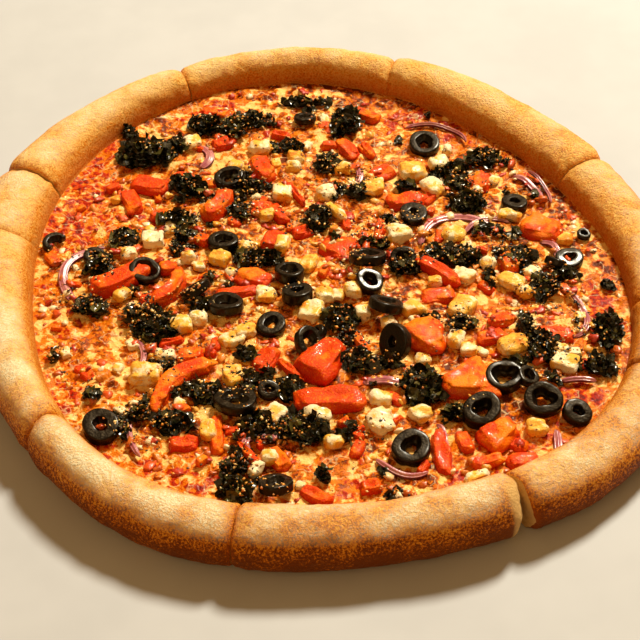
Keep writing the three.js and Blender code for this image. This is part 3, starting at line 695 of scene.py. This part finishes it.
def blobs(x, y, rows):
    """Sum of soft round patches: x, y, radius and, if given, strength."""
    total = np.zeros_like(x)
    for px, py, radius, *strength in rows:
        total += (strength[0] if strength else 1) * np.exp(-((x - px) ** 2 + (y - py) ** 2) / radius ** 2)
    return total


def disc_grid(cells):
    """Points of the unit disc on a square grid: radius and angle."""
    line = np.linspace(-1, 1, cells + 1)
    a, b = np.meshgrid(line, line, indexing="ij")
    steep = np.abs(a) > np.abs(b)
    radius = np.where(steep, a, b)
    safe = np.where(radius == 0, 1, radius)
    angle = np.where(steep, math.pi / 4 * b / safe, math.pi / 2 - math.pi / 4 * a / safe)
    return radius.ravel(), angle.ravel()


def cheese_fields(x, y, turn, inland):
    """Sauce and toasting of the melted layer, by its points' angle and distance from the edge; near the rim
    on the back-right the toasting is partly painted shade.
    """
    spots = flat_points(x, y)
    patches = 0.62 * np.minimum(blobs(x, y, SAUCES), 1.25)
    sauce = patches + 0.4 * fractal(spots, 16, 3, 31) + 0.25 * noise(spots, 5, 35) - blobs(x, y, PALES)
    runny = np.clip(4 * noise(spots, 9, 77) - 0.2, 0, 1)
    toast_and_shade = 0.78 + 0.35 * fractal(spots, 26, 3, 41) - 0.3 * blobs(x, y, PALES) - 0.7 * runny
    # Darker near the rim towards the back-right: browning and painted shade cast by the rim
    toast_and_shade += 0.6 * np.clip(np.cos(turn - 0.9) + 0.2, 0, 1) * np.exp(-inland / 22)
    return sauce, toast_and_shade


def cheese_relief(x, y, inland, sauce):
    """Height of the melted layer: lumpy, lower and smoother where the sauce shows."""
    spots = flat_points(x, y)
    melt = 1.7 * fractal(spots, 6, 3, 51) + 0.9 * np.maximum(0, noise(spots, 11, 61)) ** 2
    melt *= np.clip(inland / 6, 0.3, 1)
    wet = np.clip(sauce, 0, 1)
    rise = 0.3 * np.exp(-inland / 2.5)
    return cheese_height(x, y) + melt * (1 - 0.5 * wet) - 0.9 * wet + rise - 0.35 * cut_groove(x, y)


def cheese_body():
    """Melted layer over all the slices, on one grid, with its sauce and toasting as fields."""
    share, angle = disc_grid(CHEESE_CELLS)
    unit = np.stack([share * np.cos(angle), share * np.sin(angle)], axis=1)
    turn = np.arctan2(unit[:, 1], unit[:, 0])
    edge = outline_radius(INNER, turn)
    inland = (1 - np.abs(share)) * edge
    x, y = (unit * (edge + CHEESE_OVERLAP)[:, None]).T
    sauce, toast_and_shade = cheese_fields(x, y, turn, inland)
    top = np.stack([x, y, cheese_relief(x, y, inland, sauce)], axis=1)
    side = CHEESE_CELLS + 1
    index = np.arange(side * side).reshape(side, side)
    ring = np.concatenate([index[0, :-1], index[:-1, -1], index[-1, :0:-1], index[:0:-1, 0]])
    rim = top[ring].copy()
    rim[:, 2] = CHEESE_FLOOR
    start = len(top)
    lower = start + np.arange(len(ring))
    walls = np.stack([ring, lower, np.roll(lower, -1), np.roll(ring, -1)], axis=1)
    quads = grid_quads(side, side, False)
    faces = quads[:, ::-1].tolist() + walls[:, ::-1].tolist() + [lower.tolist()]
    points = np.concatenate([top, rim])
    pad = np.zeros(len(rim))
    return points, faces, {"sauce": np.append(sauce, pad), "toast_and_shade": np.append(toast_and_shade, pad)}


def cut_groove(x, y):
    """1 along each cut, 0 away from it: the melted layer dips a little there."""
    groove = np.zeros_like(x)
    for angle, _, _ in CUTS:
        along, across = rotated(x, y, -math.radians(angle))
        groove = np.maximum(groove, np.exp(-(across / 0.9) ** 2) * (along > 0))
    return groove


# Toppings

# Olive slices: steps round, and the roundings of their edge, hole and ledge
OLIVE_SEGMENTS = 42
OLIVE_BEND = 0.9
HOLE_BEND = 0.5
LEDGE_BEND = 0.4


def olive_profile(outer, inner, half):
    """Closed section of an olive slice: rounded corners, and a ledge low in its hole."""
    ledge = 0.55 * inner + LEDGE_BEND
    corners = [
        (ledge, LEDGE_BEND - half, LEDGE_BEND, 2),
        (outer - OLIVE_BEND, OLIVE_BEND - half, OLIVE_BEND, 3),
        (outer - OLIVE_BEND, half - OLIVE_BEND, OLIVE_BEND, 0),
        (inner + HOLE_BEND, half - HOLE_BEND, HOLE_BEND, 1),
        (ledge, -0.15 * half - LEDGE_BEND, LEDGE_BEND, 1),
    ]
    arcs = []
    for radius, z, bend, quarter in corners:
        angle = np.linspace(quarter, quarter + 1, 4) * math.pi / 2
        arcs.append(np.stack([radius + bend * np.cos(angle), z + bend * np.sin(angle)], axis=1))
    faces = [np.linspace(arc[-1], arcs[(i + 1) % 5][0], 4)[1:-1] for i, arc in enumerate(arcs)]
    return np.concatenate([part for pair in zip(arcs, faces) for part in pair])


def olive(row, seed):
    """A ring, or an arc of one, with glossy skin outside, wrinkled and not quite round."""
    x, y, across, thick, hole, lean, lean_to, lift, *arc = row
    profile = olive_profile(across / 2, hole / 2, thick / 2)
    first, last = arc or (0, 360)
    angle = np.radians(np.linspace(first, last, OLIVE_SEGMENTS, endpoint=bool(arc)))[:, None]
    oval = 1 + 0.05 * np.cos(2 * angle + seed) + 0.02 * np.cos(3 * angle + 2 * seed)
    middle = (across + hole) / 4
    inward = np.maximum((middle - profile[:, 0]) / (middle - hole / 2), 0)
    inward = np.minimum(inward, 1.6)
    lobes = 1 + 0.07 * inward * np.cos(3 * angle + seed) + 0.05 * inward * np.sin(5 * angle + 2 * seed)
    radius = profile[:, 0] * (1 + (oval - 1) * (1 + 1.5 * inward)) * lobes
    points = np.stack([radius * np.cos(angle), radius * np.sin(angle), profile[:, 1] + 0 * angle], axis=-1)
    points = points.reshape(-1, 3)
    rough = 0.3 * fractal(points + 50 * seed, 3, 3, seed)
    points *= (1 + rough / (across / 2))[:, None]
    points[:, 2] += 0.25 * noise(points, 6, seed + 5)
    skin = np.clip((profile[:, 0] - across / 2 + OLIVE_BEND) / 0.6, 0, 1) + 0 * angle
    axis = Vector((-math.sin(math.radians(lean_to)), math.cos(math.radians(lean_to)), 0))
    spin = np.array(Matrix.Rotation(math.radians(lean), 3, axis))
    raised = lift + thick / 2 + 0.6 * (across / 2) * math.sin(math.radians(lean))
    points = points @ spin.T + (x, y, cheese_height(x, y) + raised)
    sides = grid_quads(OLIVE_SEGMENTS, len(profile), True).tolist()
    return points, sides + closing(len(profile), bool(arc)), {"skin": skin.ravel()}


def closing(count, broken):
    """Faces that join an olive's last section to its first, or close both ends of a broken ring."""
    last = (OLIVE_SEGMENTS - 1) * count
    if broken:
        return [list(range(count - 1, -1, -1)), list(range(last, last + count))]
    return [[last + i, last + (i + 1) % count, (i + 1) % count, i] for i in range(count)]


# Balls, from fine to coarse, that pieces are shaped from
TOMATO_BALL = ball(11)
FETA_BALL = ball(9)
SPINACH_BALL = ball(7)
STRAY_BALL = ball(5)
BIT_BALL = ball(3)

# Tomato pieces, by number, whose flesh is golden
GOLDEN_TOMATOES = (5, 6, 13)


def tomato(row, seed, body=TOMATO_BALL):
    """A cut wedge or strip: sharp-edged, its top a little hollow, its flesh creased."""
    x, y, length, width, height, turn, *shape = row
    points, directions = chunk(body, x, y, (length, width, height), turn, 0.5, 0.16, *shape)
    widest = np.abs(directions).max(axis=1)
    up = directions[:, 2] / widest
    hollow = 0.3 * height * np.clip(directions[:, 2], 0, 1) ** 6
    shift = 1.3 * fractal(points + 40 * seed, 8, 2, seed) + 0.45 * fractal(points, 2.4, 2, seed + 9)
    inward = 0.16 * width * (up + 0.4) * (1 - directions[:, 2] ** 2)
    points = points + directions * (shift - inward)[:, None]
    points[:, 2] -= hollow
    ripeness = 0.42 if seed in GOLDEN_TOMATOES else 0.08 + 0.2 * math.sin(2.1 * seed + 3)
    tone = 0.5 * noise(points, 9, seed + 3) + ripeness
    # Redder towards the bottom of the piece: painted shade, less where the flesh is golden
    deep = np.clip(0.5 - 0.7 * up, 0, 1) - 0.3 * tone
    return points, body[1], {"gold": 0.1 + tone, "deep": deep}


def feta(row, seed, body=FETA_BALL):
    """A crumbled cube, softened and slumped in the oven."""
    x, y, length, width, height, turn = row
    square = 0.42 + 0.16 * math.sin(2.3 * seed)
    points, directions = chunk(body, x, y, (length, width, height), turn, square, 0.1)
    shift = 1.6 * fractal(points + 30 * seed, 6, 3, seed) + 0.6 * fractal(points, 1.8, 2, seed + 4)
    points = points + directions * (shift - 0.2)[:, None]
    toast_and_shade = 0.3 + 0.4 * noise(points, 7, seed + 6) + 0.3 * math.sin(1.7 * seed)
    return points, body[1], {"toast_and_shade": toast_and_shade}


def spinach(row, seed, body=SPINACH_BALL):
    """Dark heart of a clump; its leaves are laid over it."""
    x, y, length, width, height, turn = row
    size = (0.86 * length, 0.86 * width, 0.8 * height)
    points, directions = chunk(body, x, y, size, turn, 0.1, 0.25)
    shift = 1.6 * fractal(points + 20 * seed, 6, 2, seed)
    return points + directions * shift[:, None], body[1], {"pale": 0.0}


# Points across and along a scrap of leaf, and scraps for each square millimetre of a clump's box
LEAF_ROWS, LEAF_COLUMNS = 3, 5
LEAVES_PER_AREA = 0.36


def leaves(rows, draw):
    """Crumpled scraps of leaf that cover the clumps, each a small curled sheet."""
    row_line, column_line = np.linspace(-1, 1, LEAF_ROWS), np.linspace(-1, 1, LEAF_COLUMNS)
    across, along = (c.ravel() for c in np.meshgrid(row_line, column_line, indexing="ij"))
    centres, scales = [], []
    for x, y, length, width, height, turn in rows:
        count = int(length * width * LEAVES_PER_AREA) + 4
        reach, angle = 0.97 * np.sqrt(draw.uniform(0, 1, count)), draw.uniform(0, 2 * math.pi, count)
        u, v = reach * np.cos(angle) * length / 2, reach * np.sin(angle) * width / 2
        lift = (0.05 + 0.85 * np.sqrt(1 - reach ** 2)) * height * draw.uniform(0.8, 1.05, count) - 0.4
        u, v = rotated(u, v, math.radians(turn))
        centres.append(np.stack([x + u, y + v, cheese_height(x + u, y + v) + lift], axis=1))
        scales.append(draw.uniform(0.9, 3.5, count) * min(1, 0.4 + width / 14))
    centres, scales = np.concatenate(centres), np.concatenate(scales)
    total = len(centres)
    x = scales[:, None] * along * draw.uniform(0.7, 1.5, (total, 1))
    y = scales[:, None] * across * (1 - 0.3 * along ** 2) * draw.uniform(0.5, 1.0, (total, 1))
    curl = draw.normal(0, 0.7, (total, 1)) * along ** 2 + draw.normal(0, 0.7, (total, 1)) * across ** 2
    z = scales[:, None] * (0.45 * curl + draw.normal(0, 0.2, (total, len(along))))
    x = x + scales[:, None] * draw.normal(0, 0.14, x.shape)
    points = spun(np.stack([x, y, z], axis=-1), draw, 0.5) + centres[:, None]
    quads = grid_quads(LEAF_ROWS, LEAF_COLUMNS, False)
    faces = (quads[None] + len(along) * np.arange(total)[:, None, None]).reshape(-1, 4)
    pale = np.repeat(draw.uniform(0, 1, total), len(along))
    return points.reshape(-1, 3), faces, {"pale": pale}


def spun(points, draw, tilt):
    """Each row of points turned at random, tilted by about an angle in radians."""
    total = len(points)
    x, y, z = np.moveaxis(points, -1, 0)
    lean = draw.normal(0, tilt, (2, total, 1))
    x, z = rotated(x, z, lean[0])
    y, z = rotated(y, z, lean[1])
    x, y = rotated(x, y, draw.uniform(0, 2 * math.pi, (total, 1)))
    return np.stack([x, y, z], axis=-1)


def small(rows, height):
    """Rows that get the height they are written without."""
    return [(x, y, length, width, height, turn) for x, y, length, width, turn in rows]


# Points round an onion strip
ONION_SIDES = 24


def onion(row, seed):
    """Ribbed strip along part of a circle, swaying a little."""
    x, y, radius, start, end, width = row
    steps = int(abs(end - start) / 2.5)
    angle = np.radians(np.linspace(start, end, steps))[:, None]
    turn = np.linspace(0, 2 * math.pi, ONION_SIDES, endpoint=False)[None, :]
    ends = np.sqrt(np.clip(1 - np.abs(np.linspace(-1, 1, steps)) ** 6, 0.02, 1))[:, None]
    side = width / 2 * np.cos(turn) * ends
    up = ONION_HEIGHT / 2 * np.sin(turn) * ends * (1 + 0.35 * np.cos(side / width * 4 * math.pi))
    sway = 1.2 * np.sin(angle * 3 + seed)
    reach = radius + side + sway
    px = x + reach * np.cos(angle)
    py = y + reach * np.sin(angle)
    pz = cheese_height(px, py) + ONION_HEIGHT / 2 + up + 0.5 * np.sin(angle * 5 + seed)
    points = np.stack([px, py, pz], axis=-1).reshape(-1, 3)
    across = np.abs(np.cos(turn)) + 0 * angle
    faces = grid_quads(steps, ONION_SIDES, True)[:, ::-1].tolist()
    last = (steps - 1) * ONION_SIDES
    faces += [list(range(ONION_SIDES)), list(range(last + ONION_SIDES - 1, last - 1, -1))]
    return points, faces, {"across": across.ravel()}


# Scattered herbs and crumbs

# Half the width of the height map, in millimetres, and a crumb with eight faces
RELIEF_REACH = 170
CRUMB_CORNERS = np.array([(1., 0, 0), (-1, 0, 0), (0, 1, 0), (0, -1, 0), (0, 0, 1), (0, 0, -1)])
CRUMB_FACES = np.array([
    (0, 2, 4), (2, 1, 4), (1, 3, 4), (3, 0, 4), (2, 0, 5), (1, 2, 5), (3, 1, 5), (0, 3, 5),
])
CRUMB = (CRUMB_CORNERS, CRUMB_FACES)


class Relief:
    """Height of all that has been laid so far, on a grid of 1 mm cells."""

    def __init__(self, points):
        line = np.arange(-RELIEF_REACH, RELIEF_REACH) + 0.5
        self.top = cheese_height(*np.meshgrid(line, line, indexing="ij")) - SINK
        self.add(points)

    def cells(self, points):
        return tuple(np.clip((points[:, :2] + RELIEF_REACH).astype(int), 0, 2 * RELIEF_REACH - 1).T)

    def add(self, points):
        np.maximum.at(self.top, self.cells(points), points[:, 2])

    def at(self, points):
        return self.top[self.cells(points)]


def spots_for(count, draw, relief, spread, highest, clumped):
    """Points strewn over the toppings, fewer on bare patches and high pieces, clumped by the spinach."""
    angle = draw.uniform(0, 2 * math.pi, count)
    reach = draw.uniform(0, 1, count) ** spread * (outline_radius(INNER, angle) - 4)
    spots = np.stack([reach * np.cos(angle), reach * np.sin(angle), np.zeros(count)], axis=1)
    x, y = spots[:, 0], spots[:, 1]
    bare = blobs(x, y, SAUCES) + blobs(x, y, PALES)
    leafy = blobs(x, y, [(row[0], row[1], 10) for row in SPINACHES + SMALL_SPINACHES])
    chance = 0.7 + 1.1 * fractal(spots, 18, 2, 71) - 0.3 * bare + clumped * (leafy - 0.9)
    spots[:, 2] = relief.at(spots)
    low = spots[:, 2] < cheese_height(x, y) + highest
    return spots[low & (chance > draw.uniform(0, 1, count))]


def strewn(template, spots, draw, size, flatness, rough):
    """One bit of a template's shape on each spot, all of different sizes and turns."""
    corners, faces = template
    total = len(spots)
    length = draw.uniform(*size, total)
    width = length * draw.uniform(0.4, 0.9, total)
    stretch = np.stack([length, width, length * flatness], axis=1)[:, None, :] / 2
    bits = corners[None] * stretch * draw.uniform(1 - rough, 1 + rough, (total, len(corners), 1))
    points = spun(bits, draw, 0.35) + spots[:, None]
    points[..., 2] -= 0.15 * length[:, None] * flatness
    faces = (faces[None] + len(corners) * np.arange(total)[:, None, None]).reshape(-1, faces.shape[1])
    return points.reshape(-1, 3), faces, {"kind": np.repeat(draw.uniform(0, 1, total), len(corners))}


# Each topping's maker, the rows that are nodes and the smaller ones
TOPPINGS = {
    "olive": (olive, OLIVES, MORE_OLIVES),
    "tomato": (tomato, TOMATOES, small(SMALL_TOMATOES, SMALL_TOMATO_HEIGHT)),
    "feta": (feta, FETAS, small(SMALL_FETAS, SMALL_FETA_HEIGHT)),
    "spinach": (spinach, SPINACHES, small(SMALL_SPINACHES, SMALL_SPINACH_HEIGHT)),
}

# First seeds of the smaller and of the stray pieces
SMALL_SEED = 30
STRAY_SEED = 200


def gathered(kind, rows, seed, draw, *body):
    """One body of all of a topping's rows, with the leaves that spinach has."""
    bodies = [TOPPINGS[kind][0](row, seed + i, *body) for i, row in enumerate(rows)]
    return joined(bodies + [leaves(rows, draw)] if kind == "spinach" else bodies)


def lay_toppings(materials, relief):
    """Pieces that replace the topping nodes, and the smaller pieces that lie between them."""
    draw = np.random.default_rng(3)
    for kind, (_, rows, _) in TOPPINGS.items():
        for number, row in enumerate(rows, 1):
            body = gathered(kind, [row], number, draw)
            relief.add(body[0])
            make_piece(f"{kind}_piece_{number}", body, materials[kind], [f"{kind}_{number}"])
    for kind, (_, _, rows) in TOPPINGS.items():
        body = gathered(kind, rows, SMALL_SEED, draw)
        relief.add(body[0])
        make_piece(f"small_{kind}_pieces", body, materials[kind])
    onions = joined([onion(row, i) for i, row in enumerate(ONIONS)])
    relief.add(onions[0])
    make_piece("red_onion_strips", onions, onion_material())


# Stray scraps between the pieces: how many, their lengths, width share, height and clumping
STRAYS = {
    "spinach": (420, 3, 10, 0.6, 3.6, 0.5), "feta": (110, 4, 8.5, 0.8, 4.0, 0.0),
    "tomato": (150, 5, 12, 0.6, 4.0, 0.0),
}


def stray_rows(kind, draw, relief):
    """Rows of a topping's stray scraps, strewn where there is room."""
    count, shortest, longest, share, height, clumped = STRAYS[kind]
    spots = spots_for(count, draw, relief, 0.6, 2.5, clumped)
    total = len(spots)
    length = draw.uniform(shortest, longest, total)
    turn = draw.uniform(0, 180, total)
    return [(x, y, size, size * share, height, t) for (x, y, _), size, t in zip(spots, length, turn)]


def lay_strays(materials, relief):
    """Scraps of spinach, feta and tomato between the pieces."""
    draw = np.random.default_rng(9)
    for kind in STRAYS:
        rows = stray_rows(kind, draw, relief)
        body = gathered(kind, rows, STRAY_SEED, draw, STRAY_BALL)
        relief.add(body[0])
        make_piece(f"stray_{kind}", body, materials[kind])


# Strewn bits: slot, colours, roughness, template, count, size, flatness, unevenness, spread, highest
# place above the cheese, and how much they clump by the spinach
BITS = {
    "golden_lumps": (
        "cheese", ("ecd0a0", "e09a30", "bc5408"), 0.36, BIT_BALL, 1700, (2, 6), 0.55, 0.3, 0.6, 2.5, 0.0,
    ),
    "tomato_bits": (
        "tomato", ("d8500c", "b42c04", "e0801c"), 0.4, BIT_BALL, 1000, (2.5, 7), 0.4, 0.5, 0.6, 3.0, 0.0,
    ),
    "baked_crumbs": (
        "cheese", ("eea43c", "c06a18", "f8d488"), 0.5, CRUMB, 16000, (0.8, 2.6), 0.6, 0.3, 0.58, 30.0, 0.9,
    ),
    "dried_herbs": (
        "spinach", ("120d07", "4a2c0c", "0b0c07"), 0.5, CRUMB, 16000, (0.6, 2.6), 0.35, 0.3, 0.58, 6.0, 0.9,
    ),
}


def lay_bits(relief):
    """Lumps of cheese, bits of tomato, crumbs and herbs on all that lies below them."""
    draw = np.random.default_rng(5)
    for name, row in BITS.items():
        slot, colours, roughness, template, count, size, flatness, rough, spread, highest, clumped = row
        spots = spots_for(count, draw, relief, spread, highest, clumped)
        body = strewn(template, spots, draw, size, flatness, rough)
        make_piece(name, body, speckled_material(name, colours, roughness))
        relief.add(body[0])


# Stage

# Camera: the point it looks at, its angles and distance, and its lens in pixels
LOOK_AT = (4.45, -3.71, 0.0)
ELEVATION = 43.26
DISTANCE = 754.5
ROLL = -1.09
FOCAL_PIXELS = 1500
PHOTO_PIXELS = 640
CENTRE_PIXEL = (331.15, 296.42)
SENSOR = 36.0
FARTHEST_METRES = 20

# Lights: azimuth counted from +X, elevation, distance and size in metres, power and colour
LIGHTS = {
    "key": (61, 50, 2.6, 0.5, 128, (0.93, 0.86, 0.68)),
    "fill": (-110, 45, 1.8, 1.4, 5, (1.0, 0.6, 0.24)),
}
STUDIO_COLOUR = (1.0, 0.56, 0.2, 1)
STUDIO_STRENGTH = 0.33
FLOOR_HALF_METRES = 6.0


def to_metres(point):
    """A point of this file's frame in the model's frame, in metres."""
    return Vector([(value - offset) / 1000 for value, offset in zip(point, (*BOX_CENTRE, 0))])


def make_camera():
    """Camera at the picture's viewing angle."""
    data = bpy.data.cameras.new("camera")
    data.sensor_width = SENSOR
    data.lens = FOCAL_PIXELS / PHOTO_PIXELS * SENSOR
    data.shift_x = (PHOTO_PIXELS / 2 - CENTRE_PIXEL[0]) / PHOTO_PIXELS
    data.shift_y = (CENTRE_PIXEL[1] - PHOTO_PIXELS / 2) / PHOTO_PIXELS
    data.clip_end = FARTHEST_METRES
    camera = bpy.data.objects.new("camera", data)
    elevation, roll = math.radians(ELEVATION), math.radians(ROLL)
    back = Vector((0, -math.cos(elevation), math.sin(elevation)))
    right = Vector((1, 0, 0))
    up = back.cross(right)
    turned_right = right * math.cos(roll) + up * math.sin(roll)
    turned_up = -right * math.sin(roll) + up * math.cos(roll)
    place = Matrix((turned_right, turned_up, back)).transposed().to_4x4()
    place.translation = to_metres(LOOK_AT) + back * DISTANCE / 1000
    camera.matrix_world = place
    bpy.context.scene.collection.objects.link(camera)
    bpy.context.scene.camera = camera


def make_light(name, azimuth, elevation, distance, size, power, colour):
    """Round soft light aimed at the pizza."""
    data = bpy.data.lights.new(name, "AREA")
    data.shape = "DISK"
    data.size = size
    data.energy = power
    data.color = colour
    light = bpy.data.objects.new(name, data)
    azimuth, elevation = math.radians(azimuth), math.radians(elevation)
    level = math.cos(elevation)
    toward = Vector((math.cos(azimuth) * level, math.sin(azimuth) * level, math.sin(elevation)))
    light.location = toward * distance
    light.rotation_euler = toward.to_track_quat("Z", "Y").to_euler()
    bpy.context.scene.collection.objects.link(light)


def make_stage():
    """Pale floor, even studio light and the two lamps."""
    half = FLOOR_HALF_METRES
    corners = [(-half, -half, 0), (half, -half, 0), (half, half, 0), (-half, half, 0)]
    mesh = bpy.data.meshes.new("floor")
    mesh.from_pydata(corners, [], [(0, 1, 2, 3)])
    mesh.materials.append(floor_material())
    floor = bpy.data.objects.new("floor", mesh)
    bpy.context.scene.collection.objects.link(floor)
    world = bpy.data.worlds.new("studio")
    world.use_nodes = True
    background = world.node_tree.nodes["Background"]
    background.inputs["Color"].default_value = STUDIO_COLOUR
    background.inputs["Strength"].default_value = STUDIO_STRENGTH
    bpy.context.scene.world = world
    for name, row in LIGHTS.items():
        make_light(name, *row)
    bpy.context.scene.view_settings.view_transform = "Standard"


def main():
    make_camera()
    make_stage()
    crust = crust_material()
    for index in range(len(CUTS)):
        name = f"slice_{index + 1}_crust"
        make_piece(f"bread_{index + 1}", bread_slice(index), crust, [name])
    body = cheese_body()
    nodes = [f"slice_{index + 1}_cheese" for index in range(len(CUTS))]
    make_piece("melted_cheese", body, cheese_material(), nodes)
    relief = Relief(body[0])
    materials = {
        "olive": olive_material(), "tomato": tomato_material(), "feta": feta_material(),
        "spinach": spinach_material(),
    }
    lay_toppings(materials, relief)
    lay_strays(materials, relief)
    lay_bits(relief)


main()
bpy.context.view_layer.update()
